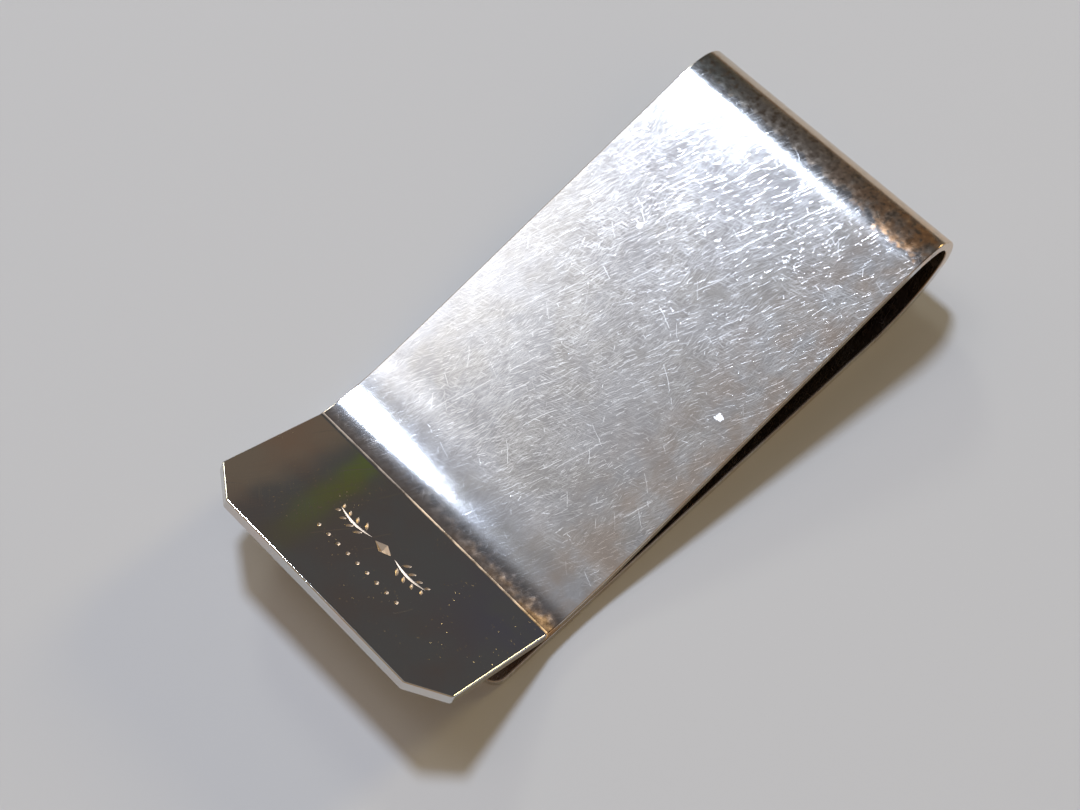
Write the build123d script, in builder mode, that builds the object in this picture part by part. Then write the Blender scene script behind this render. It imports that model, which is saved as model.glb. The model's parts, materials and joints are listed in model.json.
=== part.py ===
"""Money clip: one strip of spring sheet metal, folded into two leaves, with a raised thumb lip.

The strip lies along X and keeps one width along Y. It rests on its back leaf, at Z 0, and the closed end
of the fold points to +X. All sizes are in millimetres.

The solids are the strip's own formed regions, divided at its bend lines. From the back leaf's free end to
the lip's tip they are back_leaf, lower_bend, nose_bend, front_leaf, pinch_land, lip_bend and thumb_lip.
"""

import os
from math import cos, radians, sin

from build123d import *

# Driving dimensions
WIDTH = 25.0  # of the strip, along Y
SHEET = 0.9  # metal thickness
LEAF_SLOPE = 11.0  # degrees that the front leaf rises towards the fold
SWEEP_RADIUS = 9.5  # outer radius of the fold's wide lower part
NOSE_RADIUS = 3.06  # outer radius of the fold's tight upper part
NOSE_TURN = 119.0  # degrees that the tight part turns
SHOULDER_RADIUS = 8.0  # outer radius where the front leaf leaves the fold
SHOULDER_TURN = 22.0  # degrees that this shoulder turns
PINCH_GAP = 0.05  # between the leaves at the pinch, with nothing held
LAND_RADIUS = 26.0  # upper radius where the front leaf comes down on the back leaf
TOE_RADIUS = 14.0  # upper radius where the strip lifts again, from the pinch to the crease
TOE_TURN = 10.0  # degrees that the toe lifts
CREASE_RADIUS = 1.2  # upper radius of the crease
LIP_RISE = 28.0  # degrees that the lip rises towards its tip
LIP_LENGTH = 12.2  # from the end of the crease to the tip
LIP_CLIP_LONG = 2.2  # clipped corner, measured along the lip
LIP_CLIP_WIDE = 2.95  # clipped corner, measured across the lip
BACK_OVERHANG = 5.5  # back leaf beyond the crease
BACK_CORNER = 1.2  # corner radius at the back leaf's free end
EDGE_RADIUS = 0.12  # softened edges of the sheet

# Worked out from the driving dimensions
HALF_WIDTH = WIDTH / 2
SWEEP_TURN = 180 + LEAF_SLOPE - NOSE_TURN - SHOULDER_TURN
FOLD_REACH = (SWEEP_RADIUS - NOSE_RADIUS) * sin(radians(SWEEP_TURN)) + NOSE_RADIUS
PINCH_TOP = 2 * SHEET + PINCH_GAP  # height of the front leaf's upper face at the pinch
LAND_DROP = LAND_RADIUS * (1 - cos(radians(LEAF_SLOPE)))
CREASE_TURN = LIP_RISE - TOE_TURN


# A station is a plane square to the strip, at one of its bend lines. Its origin is on the strip's outer
# face, its X axis points through the sheet to the inner face, and its Z axis points along the strip.

def fold_axis(station, radius):
    """Axis of a bend round the strip's inner face, as in the fold."""
    return Axis(station.origin + station.x_dir * radius, (0, -1, 0))


def crease_axis(station, radius):
    """Axis of a bend the other way, round the strip's outer face."""
    return Axis(station.origin - station.x_dir * radius, (0, 1, 0))


def after_bend(station, axis, turn):
    """The station at the far end of a bend."""
    arm = station.origin - axis.position
    return Plane(
        origin=axis.position + arm.rotate(axis, turn),
        x_dir=station.x_dir.rotate(axis, turn),
        z_dir=station.z_dir.rotate(axis, turn),
    )


def lay_out(fold_start_x):
    """The stations along the strip, for a fold that starts at this X."""
    sweep_start = Plane(origin=(fold_start_x, 0, 0), x_dir=(0, 0, 1), z_dir=(1, 0, 0))
    nose_start = after_bend(sweep_start, fold_axis(sweep_start, SWEEP_RADIUS), SWEEP_TURN)
    leaf_start = after_bend(nose_start, fold_axis(nose_start, NOSE_RADIUS), NOSE_TURN)
    straight_start = after_bend(leaf_start, fold_axis(leaf_start, SHOULDER_RADIUS), SHOULDER_TURN)
    straight_drop = straight_start.origin.Z - PINCH_TOP - LAND_DROP
    land_start = straight_start.offset(straight_drop / sin(radians(LEAF_SLOPE)))
    pinch = after_bend(land_start, crease_axis(land_start, LAND_RADIUS), LEAF_SLOPE)
    crease_start = after_bend(pinch, crease_axis(pinch, TOE_RADIUS), TOE_TURN)
    lip_start = after_bend(crease_start, crease_axis(crease_start, CREASE_RADIUS), CREASE_TURN)
    tip = lip_start.offset(LIP_LENGTH)
    return (
        sweep_start, nose_start, leaf_start, straight_start,
        land_start, pinch, crease_start, lip_start, tip,
    )


# The fold starts where it puts the origin half way between the fold's end and the lip's tip.
trial_tip = lay_out(0)[-1]
tip_reach = (trial_tip.origin + trial_tip.x_dir * SHEET).X
stations = lay_out(-(FOLD_REACH + tip_reach) / 2)
sweep_start, nose_start, leaf_start, straight_start, land_start, pinch, crease_start, lip_start, tip = stations
back_end_x = crease_start.origin.X - BACK_OVERHANG


def sheet_section():
    """Cross section of the strip, standing inside the outer face of the station it is drawn on."""
    with Locations((SHEET / 2, 0)):
        RectangleRounded(SHEET, WIDTH, EDGE_RADIUS)


def broad_face_edges(plate, across):
    """Edges round a plate's two broad faces, which are square to the axis across the sheet."""
    return plate.faces().filter_by(across).edges()


# Back leaf: a flat plate with two rounded corners at its free end
with BuildPart() as back_leaf:
    back_length = sweep_start.origin.X - back_end_x
    with BuildSketch(Plane.XY):
        with Locations((back_end_x + back_length / 2, 0)):
            Rectangle(back_length, WIDTH)
    extrude(amount=SHEET)
    free_corners = back_leaf.edges().filter_by(Axis.Z).group_by(Axis.X)[0]
    fillet(free_corners, BACK_CORNER)
    joined_end = back_leaf.faces().sort_by(Axis.X)[-1].edges()
    fillet(broad_face_edges(back_leaf, Axis.Z) - joined_end, EDGE_RADIUS)
back_leaf.part.label = "back_leaf"

# Fold: a wide bend up from the back leaf, then a tight one over to the front leaf
with BuildPart() as lower_bend:
    with BuildSketch(sweep_start):
        sheet_section()
    revolve(axis=fold_axis(sweep_start, SWEEP_RADIUS), revolution_arc=SWEEP_TURN)
lower_bend.part.label = "lower_bend"

with BuildPart() as nose_bend:
    with BuildSketch(nose_start):
        sheet_section()
    revolve(axis=fold_axis(nose_start, NOSE_RADIUS), revolution_arc=NOSE_TURN)
nose_bend.part.label = "nose_bend"

# Front leaf: a round shoulder at the fold, then straight down towards the pinch
with BuildPart() as front_leaf:
    with BuildSketch(leaf_start):
        sheet_section()
    revolve(axis=fold_axis(leaf_start, SHOULDER_RADIUS), revolution_arc=SHOULDER_TURN)
    with BuildSketch(straight_start):
        sheet_section()
    extrude(amount=(land_start.origin - straight_start.origin).length)
front_leaf.part.label = "front_leaf"

# Pinch land: comes down level on the back leaf, then lifts in a short toe towards the crease
with BuildPart() as pinch_land:
    with BuildSketch(land_start):
        sheet_section()
    revolve(axis=crease_axis(land_start, LAND_RADIUS), revolution_arc=LEAF_SLOPE)
    with BuildSketch(pinch):
        sheet_section()
    revolve(axis=crease_axis(pinch, TOE_RADIUS), revolution_arc=TOE_TURN)
pinch_land.part.label = "pinch_land"

# Crease: turns the strip up into the lip
with BuildPart() as lip_bend:
    with BuildSketch(crease_start):
        sheet_section()
    revolve(axis=crease_axis(crease_start, CREASE_RADIUS), revolution_arc=CREASE_TURN)
lip_bend.part.label = "lip_bend"

# Thumb lip: a flat plate with two clipped corners, drawn on its own upper face
lip_face = Plane(origin=lip_start.origin, x_dir=lip_start.z_dir, z_dir=lip_start.x_dir)
with BuildPart() as thumb_lip:
    with BuildSketch(lip_face):
        with BuildLine():
            Polyline(
                (0, -HALF_WIDTH),
                (LIP_LENGTH - LIP_CLIP_LONG, -HALF_WIDTH),
                (LIP_LENGTH, LIP_CLIP_WIDE - HALF_WIDTH),
                (LIP_LENGTH, HALF_WIDTH - LIP_CLIP_WIDE),
                (LIP_LENGTH - LIP_CLIP_LONG, HALF_WIDTH),
                (0, HALF_WIDTH),
                close=True,
            )
        make_face()
    extrude(amount=SHEET)
    joined_end = thumb_lip.faces().sort_by(Axis(lip_start.origin, lip_start.z_dir))[0].edges()
    across_sheet = Axis(lip_face.origin, lip_face.z_dir)
    fillet(broad_face_edges(thumb_lip, across_sheet) - joined_end, EDGE_RADIUS)
thumb_lip.part.label = "thumb_lip"

os.makedirs("parts", exist_ok=True)
for region in (back_leaf, lower_bend, nose_bend, front_leaf, pinch_land, lip_bend, thumb_lip):
    export_step(region.part, f"parts/{region.part.label}.step")
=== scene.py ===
"""Money clip: the looks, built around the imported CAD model.

The clip is one strip of sheet metal. Each piece here is first made flat, as a blank with rounded edges, and
is then formed along the strip's own line, as the real strip is pressed. Sizes are in metres, and strip
coordinates run along the strip, across it, and into the sheet from its outer face.
"""

import json
from math import asin, atan2, cos, pi, radians, sin, tan, tau

import bmesh
import bpy
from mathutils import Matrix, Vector


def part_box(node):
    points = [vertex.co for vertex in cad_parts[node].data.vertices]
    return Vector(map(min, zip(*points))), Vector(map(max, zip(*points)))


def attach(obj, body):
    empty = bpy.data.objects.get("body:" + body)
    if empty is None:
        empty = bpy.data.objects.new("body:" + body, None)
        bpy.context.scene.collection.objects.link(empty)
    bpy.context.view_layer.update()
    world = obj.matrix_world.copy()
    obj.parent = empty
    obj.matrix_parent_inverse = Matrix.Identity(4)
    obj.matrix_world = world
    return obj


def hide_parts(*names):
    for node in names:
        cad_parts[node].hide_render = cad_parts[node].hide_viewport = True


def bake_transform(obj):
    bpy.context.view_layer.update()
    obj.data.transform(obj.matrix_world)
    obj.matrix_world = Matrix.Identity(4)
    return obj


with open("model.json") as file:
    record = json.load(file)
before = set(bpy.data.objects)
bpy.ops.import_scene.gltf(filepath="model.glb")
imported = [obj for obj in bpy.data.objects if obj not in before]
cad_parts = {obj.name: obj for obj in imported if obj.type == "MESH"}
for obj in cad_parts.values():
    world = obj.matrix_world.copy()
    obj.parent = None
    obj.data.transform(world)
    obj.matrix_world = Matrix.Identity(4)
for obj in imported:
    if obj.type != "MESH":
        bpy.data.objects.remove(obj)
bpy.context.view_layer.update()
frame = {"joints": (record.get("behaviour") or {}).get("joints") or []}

MM = 0.001
EDGE_RADIUS = 0.12 * MM  # softened edges of the sheet
BACK_CORNER = 1.2 * MM  # corner radius at the back leaf's free end
LIP_CLIP_LONG = 2.2 * MM  # clipped corner, along the lip
LIP_CLIP_WIDE = 2.95 * MM  # clipped corner, across the lip
LIP_CORNER = 0.35 * MM  # rounding where a clip meets the lip's side and its tip
STRAIGHT = radians(0.5)  # a stretch whose chord turns less than this is straight
ON_PLANE = EDGE_RADIUS / 100  # anything nearer to a plane than this lies on it


# ---------------------------------------------------------------- the strip's line, read from the frame

def angle_of(direction):
    """Angle of a direction in the XZ plane, from +X towards +Z."""
    return atan2(direction.y, direction.x)


def unit(angle):
    return Vector((cos(angle), sin(angle)))


def hinge_point(name):
    """A joint's place on the sheet's outer face, in the XZ plane."""
    joint = next(joint for joint in frame["joints"] if joint["name"] == name)
    x, _, z = joint["pos_m"]
    return Vector((x, z))


class Stretch:
    """A straight or evenly bent stretch of the strip, followed along its outer face in the XZ plane."""

    def __init__(self, start, end, heading, begins):
        chord = end - start
        half_turn = (angle_of(chord) - heading + pi) % tau - pi
        self.bent = abs(half_turn) > STRAIGHT
        self.start = start
        self.end = end
        self.begins = begins
        self.heading = heading if self.bent else angle_of(chord)
        self.turn = 2 * half_turn if self.bent else 0
        self.length = chord.length * (half_turn / sin(half_turn) if self.bent else 1)

    def on_to(self, end):
        """The next stretch, from the end of this one to another point."""
        return Stretch(self.end, end, self.heading + self.turn, self.begins + self.length)

    def at(self, distance):
        """The outer face's point and heading, at a distance from this stretch's start."""
        half_turned = self.turn * distance / self.length / 2
        chord = distance * (sin(half_turned) / half_turned if half_turned else 1)
        return self.start + unit(self.heading + half_turned) * chord, self.heading + 2 * half_turned


def bend_end(start, heading, place, end_heading):
    """Where a bend ends that starts here and runs out along the line through a place."""
    towards, away, gap = unit(heading), unit(end_heading), place - start
    corner = start + towards * gap.cross(away) / towards.cross(away)
    return corner + away * (corner - start).length


back_low, back_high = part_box("back_leaf")
leaf_low, leaf_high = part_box("front_leaf")
land_low, land_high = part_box("pinch_land")
_, crease_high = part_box("lip_bend")
_, lip_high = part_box("thumb_lip")

SHEET = back_high.z - back_low.z
HALF_WIDTH = leaf_high.y

back = Stretch(Vector((back_low.x, 0)), hinge_point("lower_bend_flex"), 0, 0)
sweep = back.on_to(hinge_point("nose_bend_flex"))
nose = sweep.on_to(hinge_point("front_leaf_lift"))

# Where two nodes meet on a slope, the sheet's two faces end at places that differ by its thickness.
leaf_slope = asin((land_high.x - leaf_low.x) / SHEET)
toe_slope = asin((crease_high.x - land_low.x) / SHEET)

land_start = Vector((leaf_low.x, land_high.z))
level = Vector((0, land_low.z + SHEET))
shoulder = nose.on_to(bend_end(nose.end, nose.heading + nose.turn, land_start, pi + leaf_slope))
leaf = shoulder.on_to(land_start)
land = leaf.on_to(bend_end(leaf.end, leaf.heading, level, pi))
crease_start_x = crease_high.x
toe_rise = (land.end.x - crease_start_x) * tan(toe_slope / 2)
toe = land.on_to(Vector((crease_start_x, land.end.y + toe_rise)))
crease = toe.on_to(Vector((lip_high.x, crease_high.z)))

# The tip's edge is rounded, so the strip's line ends a little beyond the box's highest point.
lip_line = unit(crease.heading + crease.turn)
line_top = lip_high.z + EDGE_RADIUS * (lip_line.y - lip_line.x - 1)
lip = crease.on_to(crease.end + lip_line * (line_top - crease.end.y) / lip_line.y)


# ---------------------------------------------------------------- flat blanks

EDGE_STEPS = 5  # facets across one softened edge
CORNER_STEPS = 6  # facets round one corner of an outline


def inset_corners(corners, inset):
    """The corners of a convex outline whose sides have all moved inwards."""
    moved = []
    for index, corner in enumerate(corners):
        arriving = (corner - corners[index - 1]).normalized()
        leaving = (corners[(index + 1) % len(corners)] - corner).normalized()
        inwards = Vector((-arriving.y - leaving.y, arriving.x + leaving.x))
        moved.append(corner + inwards * inset / (1 + arriving.dot(leaving)))
    return moved


def rounded_outline(corners, radius, inset):
    """A counter-clockwise outline, moved inwards, with an arc at each corner."""
    points = []
    moved = inset_corners(corners, inset)
    for index, corner in enumerate(moved):
        arriving = (corner - moved[index - 1]).normalized()
        leaving = (moved[(index + 1) % len(moved)] - corner).normalized()
        turn = arriving.angle(leaving)
        arc_start = corner - arriving * (radius - inset) * tan(turn / 2)
        inwards = Vector((-arriving.y, arriving.x))
        centre = arc_start + inwards * (radius - inset)
        for step in range(CORNER_STEPS + 1):
            outwards = unit(angle_of(-inwards) + turn * step / CORNER_STEPS)
            points.append(centre + outwards * (radius - inset))
    return points


def edge_profile():
    """(inset, depth) down the blank's edge: round, straight, round."""
    angles = [pi / 2 * step / EDGE_STEPS for step in range(EDGE_STEPS + 1)]
    upper = [(EDGE_RADIUS * (1 - sin(angle)), EDGE_RADIUS * (1 - cos(angle))) for angle in angles]
    lower = [(inset, SHEET - depth) for inset, depth in reversed(upper)]
    return upper + lower


def blank(corners, radius):
    """A flat sheet with softened edges, in strip coordinates."""
    shape = bmesh.new()
    loops = []
    for inset, depth in edge_profile():
        outline = rounded_outline(corners, radius, inset)
        loops.append([shape.verts.new((point.x, point.y, depth)) for point in outline])
    for upper, lower in zip(loops, loops[1:]):
        for index in range(len(upper)):
            shape.faces.new((upper[index - 1], upper[index], lower[index], lower[index - 1]))
    shape.faces.new(loops[0])
    shape.faces.new(reversed(loops[-1]))
    bmesh.ops.recalc_face_normals(shape, faces=shape.faces)
    return shape


def cut_across(shape, distance, **options):
    """Cuts the blank square across, at a distance along it."""
    everything = shape.verts[:] + shape.edges[:] + shape.faces[:]
    bmesh.ops.bisect_plane(
        shape, geom=everything, plane_co=(distance, 0, 0), plane_no=(1, 0, 0), **options
    )
    bmesh.ops.holes_fill(shape, edges=[edge for edge in shape.edges if edge.is_boundary])


# ---------------------------------------------------------------- forming a blank along the strip's line

CUT_TURN = radians(1.5)  # between two cuts round a bend
CUT_LENGTH = 1 * MM  # between two cuts where the strip is straight
SPARE = 1 * MM  # blank beyond a joined end, trimmed off before forming
TRIMMED_CORNER = 0.2 * MM  # any rounding will do at a corner that is trimmed off


def length_of(stretches):
    return sum(stretch.length for stretch in stretches)


def cuts_along(stretches):
    """Distances at which a blank is cut across, so that it can bend."""
    distances = []
    begun = 0
    for stretch in stretches:
        spans = round(abs(stretch.turn) / CUT_TURN) or round(stretch.length / CUT_LENGTH)
        distances += [begun + stretch.length * span / spans for span in range(1, spans + 1)]
        begun += stretch.length
    return distances[:-1]


def place_on_strip(stretches, distance):
    """The outer face's point and heading, at a distance along several stretches."""
    for stretch in stretches[:-1]:
        if distance <= stretch.length:
            return stretch.at(distance)
        distance -= stretch.length
    return stretches[-1].at(distance)


def flat_normals(mesh):
    """A normal for each face corner of a blank. Neighbours count by their area, so broad faces stay flat."""
    sums = [Vector() for _ in mesh.vertices]
    for face in mesh.polygons:
        if face.use_smooth:
            for vertex in face.vertices:
                sums[vertex] += face.normal * face.area
    normals = []
    for face in mesh.polygons:
        for vertex in face.vertices:
            normals.append(sums[vertex].normalized() if face.use_smooth else face.normal.copy())
    return normals


def form(piece, stretches):
    """Bends a flat piece along the strip, and keeps each point's strip coordinates for the materials."""
    mesh = piece.data
    normals = flat_normals(mesh)
    kept = mesh.attributes.new("strip_mm", "FLOAT_VECTOR", "POINT")
    headings = []
    for vertex in mesh.vertices:
        distance, across, depth = vertex.co
        kept.data[vertex.index].vector = (
            (stretches[0].begins + distance) / MM, across / MM, depth / MM
        )
        point, heading = place_on_strip(stretches, distance)
        headings.append(heading)
        vertex.co = (point.x - sin(heading) * depth, across, point.y + cos(heading) * depth)
    formed = []
    for loop, (along, across, inwards) in zip(mesh.loops, normals):
        heading = headings[loop.vertex_index]
        formed.append((
            along * cos(heading) - inwards * sin(heading),
            across,
            along * sin(heading) + inwards * cos(heading),
        ))
    mesh.update()
    mesh.normals_split_custom_set(formed)


def strip_piece(node, stretches, near=None, far=None, material=None, radius=TRIMMED_CORNER, carve=None):
    """A formed piece that stands for one CAD node.

    near and far are a free end's corners on the side of -Y. An end without any is joined to its neighbour.
    """
    length = length_of(stretches)
    low_side = (near or [(-SPARE, -HALF_WIDTH)]) + (far or [(length + SPARE, -HALF_WIDTH)])
    corners = low_side + [(distance, -across) for distance, across in reversed(low_side)]
    shape = blank([Vector(corner) for corner in corners], radius)
    if not near:
        cut_across(shape, 0, clear_inner=True)
    if not far:
        cut_across(shape, length, clear_outer=True)
    for distance in cuts_along(stretches):
        cut_across(shape, distance)
    mesh = bpy.data.meshes.new(node + "_metal")
    shape.to_mesh(mesh)
    shape.free()
    piece = bpy.data.objects.new(node + "_metal", mesh)
    bpy.context.scene.collection.objects.link(piece)
    mesh.materials.append(material)
    mesh.shade_smooth()
    for face in mesh.polygons:
        joined_end = not near and face.center.x < ON_PLANE
        joined_end = joined_end or (not far and face.center.x > length - ON_PLANE)
        face.use_smooth = not joined_end
    if carve:
        carve(piece)
    form(piece, stretches)
    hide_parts(node)
    return piece


# ---------------------------------------------------------------- material nodes

class Graph:
    """A node tree. Each call adds nodes and gives back the last one's output."""

    def __init__(self, tree):
        self.tree = tree

    def add(self, kind, inputs, output=0, **settings):
        node = self.tree.nodes.new(kind)
        for name, value in settings.items():
            setattr(node, name, value)
        for key, value in inputs.items():
            if isinstance(value, bpy.types.NodeSocket):
                self.tree.links.new(value, node.inputs[key])
            else:
                node.inputs[key].default_value = value
        return node.outputs[output]

    def calc(self, operation, *values):
        return self.add("ShaderNodeMath", dict(enumerate(values)), operation=operation)

    def vector(self, operation, *values):
        return self.add("ShaderNodeVectorMath", dict(enumerate(values)), operation=operation)

    def vector_value(self, operation, *values):
        return self.add("ShaderNodeVectorMath", dict(enumerate(values)), "Value", operation=operation)

    def times(self, first, *others):
        for other in others:
            first = self.calc("MULTIPLY", first, other)
        return first

    def plus(self, first, *others):
        for other in others:
            first = self.calc("ADD", first, other)
        return first

    def most(self, first, *others):
        for other in others:
            first = self.calc("MAXIMUM", first, other)
        return first

    def fade(self, value, zero_at, one_at):
        """Rises smoothly from 0 to 1 between two values, given in either order."""
        return self.add(
            "ShaderNodeMapRange", {"Value": value, "From Min": zero_at, "From Max": one_at},
            interpolation_type="SMOOTHSTEP",
        )

    def between(self, value, low, high, soft):
        """1 between two values, and 0 outside them, with soft ends."""
        above = self.fade(value, low - soft, low + soft)
        below = self.fade(value, high + soft, high - soft)
        return self.times(above, below)

    def split(self, place):
        """The three coordinates of a vector."""
        node = self.tree.nodes.new("ShaderNodeSeparateXYZ")
        self.tree.links.new(place, node.inputs[0])
        return node.outputs

    def mix_colour(self, under, over, amount):
        node = self.tree.nodes.new("ShaderNodeMix")
        node.data_type = "RGBA"
        for index, value in ((0, amount), (6, under), (7, over)):
            if isinstance(value, bpy.types.NodeSocket):
                self.tree.links.new(value, node.inputs[index])
            else:
                node.inputs[index].default_value = value
        return node.outputs[2]


SEED_SHIFT = Vector((17.3, 9.1, 5.7))  # moves one seed's noise away from the next one's
CELL_SHIFT = Vector((31.7, 12.9, 0))  # the same for scratches
BOW_SCALE = 0.35  # of the noise that bows long scratches, for each mm
BOW_REACH = Vector((0.6, 0.6, 0))  # how far they bow, in mm
SHORT_SCRATCH = 0.1  # half the length of the shortest scratch, as a share of its cell
LONG_SCRATCH = 0.45  # half the length of the longest
PATCH_SIZE = 3.5  # of the patches that wear lines come in, in mm
PATCH_SEED = 40  # added to the lines' seed


class Metal(Graph):
    """A metal's material, laid out in strip coordinates in mm."""

    def __init__(self, name):
        self.material = bpy.data.materials.new(name)
        self.material.use_nodes = True
        super().__init__(self.material.node_tree)
        self.shader = self.tree.nodes["Principled BSDF"]
        self.shader.inputs["Metallic"].default_value = 1
        self.strip = self.add("ShaderNodeAttribute", {}, "Vector", attribute_name="strip_mm")
        self.along, self.across, self.depth = self.split(self.strip)

    def noise(self, size, detail=2, place=None, seed=0):
        """Cloudy noise about 0.5, with features of a size in mm."""
        moved = self.vector("ADD", place or self.strip, SEED_SHIFT * seed)
        return self.add("ShaderNodeTexNoise", {"Vector": moved, "Scale": 1 / size, "Detail": detail})

    def turned(self, angle, length, width, place=None):
        """Strip coordinates turned to an angle in degrees, in units of a length and a width in mm."""
        return self.add(
            "ShaderNodeMapping",
            {"Vector": place or self.strip, "Rotation": (0, 0, radians(angle)), "Scale": (length, width, 1)},
            vector_type="TEXTURE",
        )

    def hairlines(self, angle, length, width, seed):
        """Fine parallel wear lines, in patches."""
        lines = self.noise(1, 2, self.turned(angle, length, width), seed)
        patches = self.noise(PATCH_SIZE, 2, seed=seed + PATCH_SEED)
        return self.times(self.fade(lines, 0.5, 0.68), self.fade(patches, 0.35, 0.6))

    def scratches(self, angle, spread, cell, stretch, width, share, seed):
        """Single scratches, one to a cell. Each has its own angle, length and strength.

        A share of the cells has one. Angles are in degrees, and a cell is longer than wide by its stretch.
        """
        bowed = self.add("ShaderNodeTexNoise", {"Vector": self.strip, "Scale": BOW_SCALE}, "Color")
        bowed = self.vector("MULTIPLY_ADD", bowed, BOW_REACH, self.strip)
        moved = self.vector("ADD", bowed, CELL_SHIFT * seed)
        place = self.turned(angle, cell * stretch, cell, moved)
        cells = self.tree.nodes.new("ShaderNodeTexVoronoi")
        cells.voronoi_dimensions = "2D"
        cells.inputs["Scale"].default_value = 1
        self.tree.links.new(place, cells.inputs["Vector"])
        chances = self.tree.nodes.new("ShaderNodeSeparateColor")
        self.tree.links.new(cells.outputs["Color"], chances.inputs[0])
        chance, reach, strength = chances.outputs
        own = self.vector("SUBTRACT", place, cells.outputs["Position"])
        turn = self.calc("MULTIPLY_ADD", chance, radians(2 * spread), radians(-spread))
        own = self.add("ShaderNodeVectorRotate", {"Vector": own, "Angle": turn}, rotation_type="Z_AXIS")
        own_along, own_across, _ = self.split(own)
        off_line = self.calc("ABSOLUTE", own_across)
        off_middle = self.calc("ABSOLUTE", own_along)
        half_width = width / cell / 2
        line = self.fade(off_line, half_width, half_width * 0.3)
        ends = self.calc("MULTIPLY_ADD", reach, LONG_SCRATCH - SHORT_SCRATCH, SHORT_SCRATCH)
        within = self.calc("LESS_THAN", off_middle, ends)
        kept = self.fade(strength, 1 - share, 1)
        return self.times(line, within, kept)

    def nick(self, along, across, size):
        """A ragged spot of a size in mm."""
        off_middle = self.vector_value("DISTANCE", self.strip, (along, across, 0))
        ragged = self.plus(off_middle, self.times(self.noise(0.3, 2, seed=14), size))
        return self.fade(ragged, size, size * 0.8)

    def finish(self, colour, roughness, height_mm):
        """Links the shader. Heights are in mm."""
        bumps = self.add("ShaderNodeBump", {"Height": height_mm, "Distance": MM})
        self.tree.links.new(colour, self.shader.inputs["Base Color"])
        self.tree.links.new(roughness, self.shader.inputs["Roughness"])
        self.tree.links.new(bumps, self.shader.inputs["Normal"])
        return self.material


def rgb(*values):
    return (*values, 1)


# Where the strip's stretches begin, and its side: strip coordinates in mm
FOLD = nose.begins / MM
FOLD_END = shoulder.begins / MM
LEAF = leaf.begins / MM
CREASE = crease.begins / MM
LIP = lip.begins / MM
SIDE = HALF_WIDTH / MM
INNER_FACE = SHEET / MM

# Colours of the satin metal, from fresh metal, painted paler as a glint, to tarnished
FRESH_METAL_AND_GLINT = rgb(0.97, 0.965, 0.95)
SILVER = rgb(0.67, 0.675, 0.70)
DULL_SILVER = rgb(0.60, 0.585, 0.57)
GREY_MOTTLE = rgb(0.54, 0.53, 0.54)
WARM_SILVER = rgb(0.62, 0.53, 0.46)
BROWN = rgb(0.62, 0.54, 0.46)
PALE_BROWN = rgb(0.72, 0.58, 0.44)
ORANGE_BROWN = rgb(0.84, 0.48, 0.25)
GREEN_GREY = rgb(0.42, 0.42, 0.38)
DARK_BROWN = rgb(0.36, 0.28, 0.21)
CREASE_BROWN = rgb(0.70, 0.60, 0.52)
CREASE_ORANGE = rgb(0.75, 0.42, 0.18)
# painted shade: the brown that darkens the inner faces between the leaves
INSIDE_PAINTED_SHADE = rgb(0.30, 0.24, 0.20)

# Colours of the polished lip, its thin films, the painted golden highlight along its crease, and the
# engraving
LIP_SILVER = rgb(0.66, 0.67, 0.65)
PINK_FILM = rgb(0.69, 0.61, 0.56)
BLUE_FILM = rgb(0.56, 0.60, 0.80)
CREASE_HIGHLIGHT_TAN = rgb(0.80, 0.58, 0.38)
CREASE_HIGHLIGHT_ORANGE = rgb(0.95, 0.60, 0.28)
PALE_SPECK = rgb(0.85, 0.72, 0.5)
PALE_CUT = rgb(0.86, 0.74, 0.60)
DARK_CUT = rgb(0.66, 0.52, 0.40)


# ---------------------------------------------------------------- the worn satin metal

# A close family of fine lines, crossed by sparser ones: angle in degrees, length and width in mm
WEAR_LINES = ((22, 1.5, 0.05), (12, 1.1, 0.055), (33, 1.3, 0.05), (-8, 0.9, 0.06), (75, 0.8, 0.06))

# Single scratches: angle and its spread in degrees, cell width in mm, cell stretch, width in mm, share
SCRATCHES = (
    (21, 12, 0.30, 3, 0.038, 0.8),
    (27, 22, 0.40, 3, 0.038, 0.7),
    (18, 10, 1.1, 4, 0.055, 0.5),
    (25, 90, 0.45, 2, 0.042, 0.6),
    (-60, 40, 1.3, 2, 0.055, 0.3),
)

# Nicks, painted pale as glints: distance along the leaf, place across it, and size, in mm
NICKS = ((18.3, -9.8, 0.75), (11.2, 5.7, 0.6))

SATIN_ROUGHNESS = 0.055  # under all the wear
RAG_REACH = 1.0  # how far noise moves the edges of the tarnish
TARNISH_START = FOLD - 1.0
TARNISH_END = FOLD_END + 1.3
TARNISH_SOFT = 0.3
RUST_REACH = 1.1  # how much further the tarnish spreads on to the leaf where it is rusty
PALE_END = FOLD_END - 0.7  # the tarnish is paler from the nose up to here
DIRT_START = CREASE - 1.6
RUBBED_START = CREASE - 6.5  # the land is rubbed smooth from here
RUBBED_FULL = CREASE - 3.5


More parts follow.
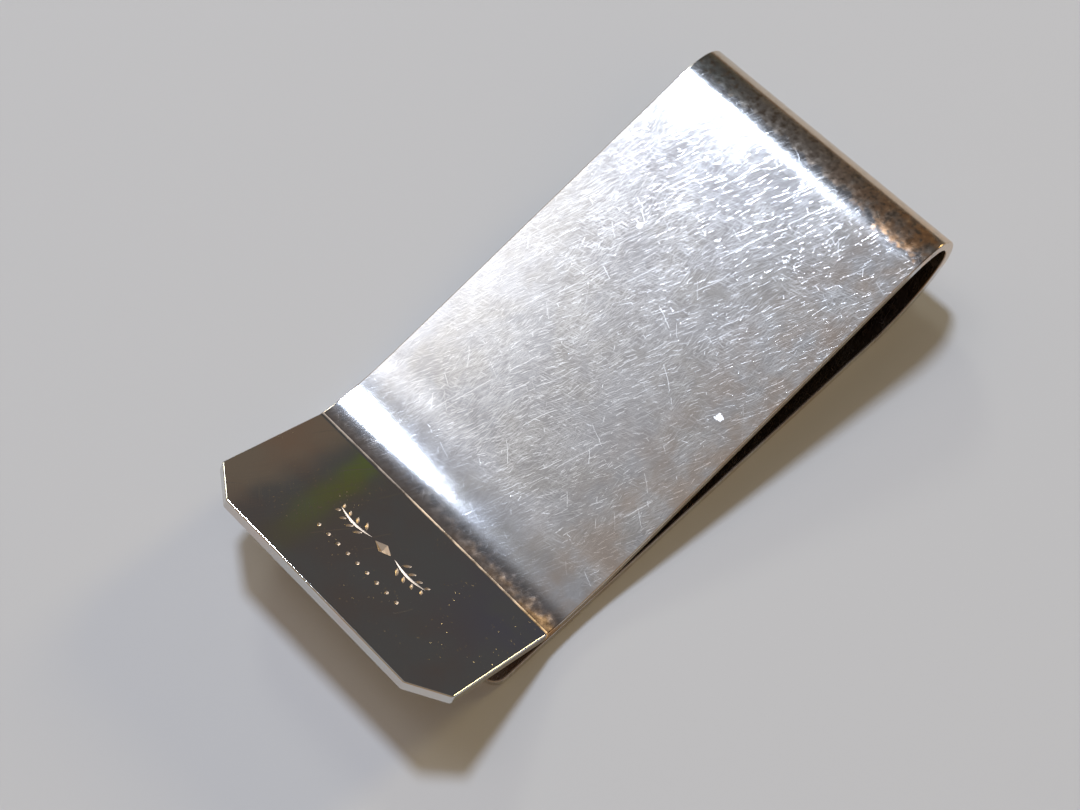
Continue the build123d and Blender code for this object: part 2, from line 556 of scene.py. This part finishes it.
def worn_satin():
    """Silver worn by notes and pockets: wear lines, scratches, and tarnish where fingers don't rub, with
    painted glints on the marks and painted shade on the inner faces.
    """
    g = Metal("worn_satin")
    fine = g.most(*[g.hairlines(*line, seed) for seed, line in enumerate(WEAR_LINES, 1)])
    single = g.most(*[g.scratches(*scratch, seed) for seed, scratch in enumerate(SCRATCHES, 1)])
    nicks = g.most(*[g.nick(LEAF + along, across, size) for along, across, size in NICKS])
    clouds = g.noise(4, 4, seed=6)
    specks = g.fade(g.noise(0.3, 1, seed=7), 0.72, 0.78)

    # Tarnish: at the fold and in front of the crease, with ragged edges, and rusty towards -Y
    rag = g.calc("MULTIPLY_ADD", g.noise(0.8, 4, seed=8), 2 * RAG_REACH, -RAG_REACH)
    ragged = g.plus(g.along, rag)
    rust = g.times(g.fade(g.across, 3, -SIDE), g.fade(g.noise(1.6, 3, seed=9), 0.3, 0.6))
    rusty = g.plus(ragged, g.times(rust, -RUST_REACH))
    fold = g.between(rusty, TARNISH_START, TARNISH_END, TARNISH_SOFT)
    crease_dirt = g.times(g.fade(ragged, DIRT_START, CREASE - 0.2), g.fade(g.along, LIP, LIP - 0.5))
    # the inner faces between the leaves: rougher, and darkened brown in cloudy patches as painted shade
    inner_face_and_painted_shade = g.fade(g.depth, INNER_FACE - 0.1, INNER_FACE)

    # Wear is weak where the land is rubbed smooth, and in the tarnish
    polish = g.fade(g.along, RUBBED_START, RUBBED_FULL)
    worn = g.times(g.calc("MULTIPLY_ADD", polish, -0.75, 1), g.calc("MULTIPLY_ADD", fold, -0.6, 1))

    # Marks show fresh metal, and are painted paler than the dulled skin round them as a painted glint of the
    # light they catch
    wear_and_glint = g.most(g.times(worn, g.most(g.times(fine, 0.6), single)), nicks)
    mottle = g.times(g.fade(g.noise(1.1, 3, seed=15), 0.45, 0.65), 0.5)
    warm_side = g.times(g.fade(g.across, -3, -SIDE), g.fade(g.noise(2.5, 3, seed=10), 0.3, 0.7))
    silver = g.mix_colour(SILVER, DULL_SILVER, g.fade(clouds, 0.38, 0.62))
    silver = g.mix_colour(silver, GREY_MOTTLE, mottle)
    # painted glint: wear marks and nicks are painted paler than the silver round them
    silver = g.mix_colour(silver, FRESH_METAL_AND_GLINT, wear_and_glint)
    silver = g.mix_colour(silver, WARM_SILVER, warm_side)

    brown = g.mix_colour(BROWN, ORANGE_BROWN, rust)
    brown = g.mix_colour(brown, GREEN_GREY, g.fade(g.across, SIDE - 9, SIDE - 1))
    brown = g.mix_colour(brown, DARK_BROWN, g.fade(g.noise(0.45, 3, seed=11), 0.48, 0.72))
    brown = g.mix_colour(brown, PALE_BROWN, g.times(g.fade(g.along, PALE_END, PALE_END - 0.15), 0.7))

    colour = g.mix_colour(silver, brown, fold)
    colour = g.mix_colour(colour, CREASE_BROWN, crease_dirt)
    colour = g.mix_colour(colour, CREASE_ORANGE, g.times(crease_dirt, rust))
    # painted shade: the inner faces darken to brown in cloudy patches
    colour = g.mix_colour(colour, INSIDE_PAINTED_SHADE, g.times(inner_face_and_painted_shade, g.fade(clouds, 0.1, 0.5)))

    # What each kind of wear adds to the roughness
    dull = g.times(g.noise(0.5, 3, seed=13), g.most(fold, g.times(crease_dirt, g.plus(0.25, rust))))
    wear = g.plus(
        0.036,
        g.times(g.fade(clouds, 0.3, 0.7), 0.02),
        g.times(fine, 0.05),
        g.times(single, 0.11),
        g.times(specks, 0.08),
    )
    roughness = g.plus(
        SATIN_ROUGHNESS,
        g.times(wear, worn),
        g.times(dull, 0.22),
        g.times(inner_face_and_painted_shade, 0.1),
        g.times(nicks, 0.25),
    )

    # How deep the marks are, and how wavy the sheet is, in mm
    height = g.plus(
        g.times(fine, worn, -0.0004),
        g.times(single, worn, -0.0008),
        g.times(g.noise(2.2, 2, seed=12), 0.004),
    )
    return g.finish(colour, roughness, height)


# ---------------------------------------------------------------- the polished lip

# Laid out like WEAR_LINES and SCRATCHES
LIP_LINES = ((20, 2.4, 0.06), (-50, 2.4, 0.06))
LIP_SCRATCHES = (
    (24, 30, 1.4, 3, 0.05, 0.35),
    (-40, 60, 2, 3, 0.05, 0.3),
)
LIP_SEED = 21  # keeps the lip's marks unlike the leaf's
LIP_ROUGHNESS = 0.045
CREASE_HIGHLIGHT_EDGE = CREASE + 0.1  # the painted highlight along the crease is full up to here


def polished_lip():
    """The lip keeps its polish, under faint film tints, fine scratches and specks, with a painted golden
    highlight along its crease.
    """
    g = Metal("polished_lip")
    fine = g.most(*[g.hairlines(*line, seed) for seed, line in enumerate(LIP_LINES, LIP_SEED)])
    single = g.most(*[g.scratches(*scratch, seed) for seed, scratch in enumerate(LIP_SCRATCHES, LIP_SEED)])
    speck_patches = g.fade(g.noise(3, 2, seed=24), 0.45, 0.65)
    specks = g.times(g.fade(g.noise(0.2, 1, seed=23), 0.69, 0.76), speck_patches)
    film = g.noise(4.5, 3, seed=25)
    blue = g.times(g.fade(g.across, 0, -SIDE), g.fade(g.along, LIP + 9, LIP + 1), g.fade(film, 0.25, 0.7))
    # painted highlight: a golden, rougher band along the crease
    painted_crease_highlight = g.fade(g.along, CREASE_HIGHLIGHT_EDGE + 0.14, CREASE_HIGHLIGHT_EDGE)

    colour = g.mix_colour(LIP_SILVER, PINK_FILM, g.fade(film, 0.35, 0.75))
    colour = g.mix_colour(colour, BLUE_FILM, g.times(blue, 0.8))
    # tone of the painted highlight: tan in the middle, dark brown towards +Y, orange towards -Y
    crease_highlight_tone = g.mix_colour(CREASE_HIGHLIGHT_TAN, DARK_BROWN, g.fade(g.across, 1, 4))
    crease_highlight_tone = g.mix_colour(crease_highlight_tone, CREASE_HIGHLIGHT_ORANGE, g.fade(g.across, 4 - SIDE, 1.5 - SIDE))
    colour = g.mix_colour(colour, crease_highlight_tone, painted_crease_highlight)
    colour = g.mix_colour(colour, PALE_SPECK, specks)
    roughness = g.plus(
        LIP_ROUGHNESS,
        g.times(fine, 0.03),
        g.times(single, 0.12),
        g.times(specks, 0.24),
        g.times(painted_crease_highlight, g.noise(1.2, 3, seed=27), 0.62),
    )
    height = g.plus(g.times(single, -0.001), g.times(specks, 0.003), g.times(g.noise(5, 1, seed=26), 0.01))
    return g.finish(colour, roughness, height)


# ---------------------------------------------------------------- the cut grooves of the engraving

CUT_ROUGHNESS = 0.28


def engraved_cut():
    """The metal of the engraving's grooves, with tool marks."""
    g = Metal("engraved_cut")
    tool_marks = g.noise(0.08, 2, seed=31)
    colour = g.mix_colour(PALE_CUT, DARK_CUT, tool_marks)
    roughness = g.plus(CUT_ROUGHNESS, g.times(tool_marks, 0.15))
    return g.finish(colour, roughness, g.times(tool_marks, 0.004))


satin = worn_satin()
polished = polished_lip()
engraved = engraved_cut()


# ---------------------------------------------------------------- the engraving: a plain generic ornament

CUT_CLEARANCE = 0.05 * MM  # how far a cutter stands clear of the sheet
ORNAMENT_MARGIN = 1 * MM  # grooves start beyond this from the crease, and end within this of the dots
CUT_FLARE = 1.4  # half width of a groove, for each unit of depth
ORNAMENT_ALONG = 5.0 * MM  # from the crease end of the lip to the ornament's middle
STEM_START = 1.25 * MM
STEM_END = 4.6 * MM
STEM_BOW = 0.3 * MM
LEAF_PAIRS = 4
DOTS_ALONG = 7.7 * MM
DOT_PITCH = 1.05 * MM
DOT_RADIUS = 0.17 * MM
DOTS_EACH_SIDE = 4
DOT_SIDES = 8
STEM_STEPS = 16
STEM_CUT = 0.11 * MM  # half width of the stem's groove
LEAF_STEPS = 6
LEAF_CUT = 0.12 * MM  # half width of a leaf's groove
LEAF_FOOT = 0.6  # the first pair's place on the stem, as a share of the pitch of the pairs
LEAF_LONG = 0.62 * MM  # a leaf's reach along the lip
LEAF_WIDE = 0.5 * MM  # a leaf's reach across the lip
LEAF_SHRINK = 0.12  # each pair is shorter than the one before, by this share of the first
LEAF_GAP = 0.35  # between the stem and a leaf, as a share of the leaf
STROKE_TAPER = 0.8  # less makes the ends of a stroke blunter
LOZENGE = (0.5 * MM, 0.85 * MM)  # half the lozenge's size, along and across the lip


def cut_stroke(shape, points, half_width):
    """Adds a tapered V-shaped cutter that follows a line of points on the blank."""
    rings = []
    last = len(points) - 1
    for index, point in enumerate(points):
        following = points[min(index + 1, last)] - points[max(index - 1, 0)]
        sideways = Vector((-following.y, following.x)).normalized()
        half = half_width * sin(pi * index / last) ** STROKE_TAPER
        top = half + CUT_CLEARANCE * CUT_FLARE
        left, right = point + sideways * top, point - sideways * top
        rings.append([
            shape.verts.new((left.x, left.y, -CUT_CLEARANCE)),
            shape.verts.new((right.x, right.y, -CUT_CLEARANCE)),
            shape.verts.new((point.x, point.y, half / CUT_FLARE)),
        ])
    for ring, following in zip(rings, rings[1:]):
        for side in range(3):
            shape.faces.new((ring[side - 1], ring[side], following[side], following[side - 1]))
    shape.faces.new(rings[0])
    shape.faces.new(reversed(rings[-1]))


def cut_point(shape, place, reaches):
    """Adds a cutter like an upside-down pyramid. Its corners stand round the place at these reaches."""
    rim = []
    flare = 1 + CUT_CLEARANCE * CUT_FLARE / min(reaches)
    for index, reach in enumerate(reaches):
        corner = place + unit(tau * index / len(reaches)) * reach * flare
        rim.append(shape.verts.new((corner.x, corner.y, -CUT_CLEARANCE)))
    tip = shape.verts.new((place.x, place.y, min(reaches) / CUT_FLARE))
    for index in range(len(rim)):
        shape.faces.new((rim[index - 1], rim[index], tip))
    shape.faces.new(rim)


def stem_point(side, share):
    """A place on the sprig's stem, which bows once on its way out from the middle."""
    across = STEM_START + (STEM_END - STEM_START) * share
    return Vector((ORNAMENT_ALONG + STEM_BOW * sin(pi * share), side * across))


def cut_sprig(shape, side):
    """A stem with small leaves on both sides of it, mirrored about the lip's middle line."""
    stem = [stem_point(side, step / STEM_STEPS) for step in range(STEM_STEPS + 1)]
    cut_stroke(shape, stem, STEM_CUT)
    for pair in range(LEAF_PAIRS):
        foot = stem_point(side, (pair + LEAF_FOOT) / LEAF_PAIRS)
        for flip in (-1, 1):
            reach = Vector((flip * LEAF_LONG, side * LEAF_WIDE)) * (1 - LEAF_SHRINK * pair)
            away = foot + reach * LEAF_GAP
            points = [away + reach * step / LEAF_STEPS for step in range(LEAF_STEPS + 1)]
            cut_stroke(shape, points, LEAF_CUT)


def cut_ornament(piece):
    """Cuts a lozenge, a sprig on each side of it, and a row of dots into the lip."""
    shape = bmesh.new()
    cut_point(shape, Vector((ORNAMENT_ALONG, 0)), LOZENGE * 2)
    for side in (-1, 1):
        cut_sprig(shape, side)
    for index in range(-DOTS_EACH_SIDE, DOTS_EACH_SIDE + 1):
        cut_point(shape, Vector((DOTS_ALONG, index * DOT_PITCH)), [DOT_RADIUS] * DOT_SIDES)
    bmesh.ops.recalc_face_normals(shape, faces=shape.faces)
    cutter_mesh = bpy.data.meshes.new("cutter")
    shape.to_mesh(cutter_mesh)
    shape.free()
    cutter = bpy.data.objects.new("cutter", cutter_mesh)
    bpy.context.scene.collection.objects.link(cutter)
    cut = piece.modifiers.new("cut", "BOOLEAN")
    cut.object = cutter
    cut.operation = "DIFFERENCE"
    cut.solver = "EXACT"
    cut.use_self = True
    shown = piece.evaluated_get(bpy.context.evaluated_depsgraph_get())
    carved = bpy.data.meshes.new_from_object(shown)
    piece.modifiers.clear()
    piece.data = carved
    bpy.data.objects.remove(cutter)
    carved.materials.clear()
    carved.materials.append(polished)
    carved.materials.append(engraved)
    for face in carved.polygons:
        along, across, depth = face.center
        within = ORNAMENT_MARGIN < along < DOTS_ALONG + ORNAMENT_MARGIN and abs(across) < HALF_WIDTH / 2
        groove = within and ON_PLANE < depth < SHEET / 2
        face.material_index = int(groove)
        if groove:
            face.use_smooth = False


# ---------------------------------------------------------------- the pieces

back_leaf = strip_piece("back_leaf", [back], near=[(0, -HALF_WIDTH)], radius=BACK_CORNER, material=satin)
lower_bend = strip_piece("lower_bend", [sweep], material=satin)
nose_bend = strip_piece("nose_bend", [nose], material=satin)
front_leaf = strip_piece("front_leaf", [shoulder, leaf], material=satin)
pinch_land = strip_piece("pinch_land", [land, toe], material=satin)
lip_bend = strip_piece("lip_bend", [crease], material=polished)
lip_tip = [
    (lip.length - LIP_CLIP_LONG, -HALF_WIDTH),
    (lip.length, LIP_CLIP_WIDE - HALF_WIDTH),
]
thumb_lip = strip_piece(
    "thumb_lip", [lip], far=lip_tip, radius=LIP_CORNER, material=polished, carve=cut_ornament
)

for piece in (front_leaf, pinch_land, lip_bend, thumb_lip):
    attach(piece, "front")


def blend_at_end(piece, stretch):
    """Bakes the piece's placement into its mesh."""
    point, heading = stretch.at(stretch.length)
    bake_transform(piece)


blend_at_end(back_leaf, back)
blend_at_end(lower_bend, sweep)
blend_at_end(nose_bend, nose)


# ---------------------------------------------------------------- camera

AZIMUTH = radians(-43.91)
ELEVATION = radians(64.1)
CAMERA_DISTANCE = 157.56 * MM
AIM = Vector((-3.09, 2.03, 0)) * MM
LENS = 67.1  # in mm, for this sensor
SENSOR_WIDTH = 36  # in mm
NEAREST_SEEN = 10 * MM


def direction(azimuth, elevation):
    """Unit vector towards an azimuth, from -Y towards +X, and an elevation."""
    level = cos(elevation)
    return Vector((sin(azimuth) * level, -cos(azimuth) * level, sin(elevation)))


def aim(thing, place, target):
    thing.location = place
    thing.rotation_euler = (place - target).to_track_quat("Z", "Y").to_euler()
    bpy.context.scene.collection.objects.link(thing)


camera_data = bpy.data.cameras.new("camera")
camera_data.sensor_width = SENSOR_WIDTH
camera_data.lens = LENS
camera_data.clip_start = NEAREST_SEEN
camera = bpy.data.objects.new("camera", camera_data)
aim(camera, AIM + direction(AZIMUTH, ELEVATION) * CAMERA_DISTANCE, AIM)
bpy.context.scene.camera = camera
bpy.context.scene.view_settings.view_transform = "Standard"


# ---------------------------------------------------------------- floor and light

FLOOR_REACH = 1.5
FLOOR_COLOUR = 0.6
FLOOR_ROUGHNESS = 0.7
FLOOR_SHEEN = 0.2

floor_mesh = bpy.data.meshes.new("floor")
floor_corners = [(x * FLOOR_REACH, y * FLOOR_REACH, 0) for x, y in ((-1, -1), (1, -1), (1, 1), (-1, 1))]
floor_mesh.from_pydata(floor_corners, [], [(0, 1, 2, 3)])
floor = bpy.data.objects.new("floor", floor_mesh)
bpy.context.scene.collection.objects.link(floor)
table = bpy.data.materials.new("table")
table.use_nodes = True
shader = table.node_tree.nodes["Principled BSDF"]
shader.inputs["Base Color"].default_value = rgb(FLOOR_COLOUR, FLOOR_COLOUR, FLOOR_COLOUR)
shader.inputs["Roughness"].default_value = FLOOR_ROUGHNESS
shader.inputs["Specular IOR Level"].default_value = FLOOR_SHEEN
floor_mesh.materials.append(table)

LAMP_DISTANCE = 2.0


def lamp(name, towards, wide, floor_tone):
    """A round lamp. It looks this many degrees wide, and gives the bare floor this tone."""
    towards = Vector(towards).normalized()
    strongest = max(floor_tone)
    data = bpy.data.lights.new(name, "AREA")
    data.shape = "DISK"
    data.size = 2 * LAMP_DISTANCE * tan(radians(wide / 2))
    data.energy = strongest * (pi * LAMP_DISTANCE) ** 2 / FLOOR_COLOUR / towards.z
    data.color = [tone / strongest for tone in floor_tone]
    aim(bpy.data.objects.new(name, data), towards * LAMP_DISTANCE, Vector())


lamp("main_lamp", (0.254, 0.415, 0.874), 9, (0.24, 0.277, 0.34))
lamp("low_lamp", (0.91, -0.1, 0.4), 14, (0.055, 0.043, 0.02))
lamp("far_lamp", (0.416, 0.738, 0.53), 9, (0.03, 0.03, 0.025))


# What the metal reflects
HORIZON = rgb(0.35, 0.245, 0.14)
OVERHEAD = rgb(0.33, 0.325, 0.33)
DARK_SIDE = rgb(0.085, 0.08, 0.08)
GREEN_STREAK = rgb(0.105, 0.125, 0.04)
DOORWAY = rgb(0.17, 0.13, 0.10)
WINDOW_HAZE = (0.33, 0.33, 0.34)
WINDOW = (1.9, 1.9, 1.95)
STREAK_PLANE = (0.2937, -0.9301, 0.2207)  # square to the plane that the streak lies in
DOORWAY_PLANE = (0.2125, -0.8787, 0.4257)  # square to the plane of the doorway's edge


def studio():
    """The room: warm at the horizon, pale overhead, dark towards +X, with a window high towards +Y."""
    world = bpy.data.worlds.new("studio")
    world.use_nodes = True
    g = Graph(world.node_tree)
    towards = g.add("ShaderNodeTexCoord", {}, "Generated")
    ahead, _, up = g.split(towards)

    def glow(under, middle, wide, colour):
        """A soft round light that fades out at an angle in degrees from its middle."""
        nearness = g.vector_value("DOT_PRODUCT", towards, Vector(middle).normalized())
        share = g.fade(nearness, cos(radians(wide)), 1)
        return g.vector("MULTIPLY_ADD", share, colour, under)

    def beside(plane):
        """How far a direction lies to one side of a plane, as a sine."""
        return g.vector_value("DOT_PRODUCT", towards, Vector(plane).normalized())

    room = g.mix_colour(HORIZON, OVERHEAD, g.fade(up, 0.8, 0.93))
    room = g.mix_colour(room, DARK_SIDE, g.fade(ahead, 0.2, 0.42))

    # Two shapes low towards +X show in the polished lip
    low_ahead = g.times(g.fade(ahead, 0.6, 0.75), g.fade(up, 0.6, 0.5))
    off_streak = g.calc("ABSOLUTE", beside(STREAK_PLANE))
    streak = g.times(g.fade(off_streak, 0.009, 0.003), low_ahead)
    room = g.mix_colour(room, GREEN_STREAK, g.times(streak, g.fade(up, 0.4, 0.33)))
    doorway = g.times(g.fade(beside(DOORWAY_PLANE), 0.002, -0.004), low_ahead)
    room = g.mix_colour(room, DOORWAY, doorway)

    room = glow(room, (0, 0.5, 0.87), 18, WINDOW_HAZE)
    room = glow(room, (-0.02, 0.53, 0.85), 13, WINDOW)
    g.tree.links.new(room, g.tree.nodes["Background"].inputs["Color"])
    return world


bpy.context.scene.world = studio()
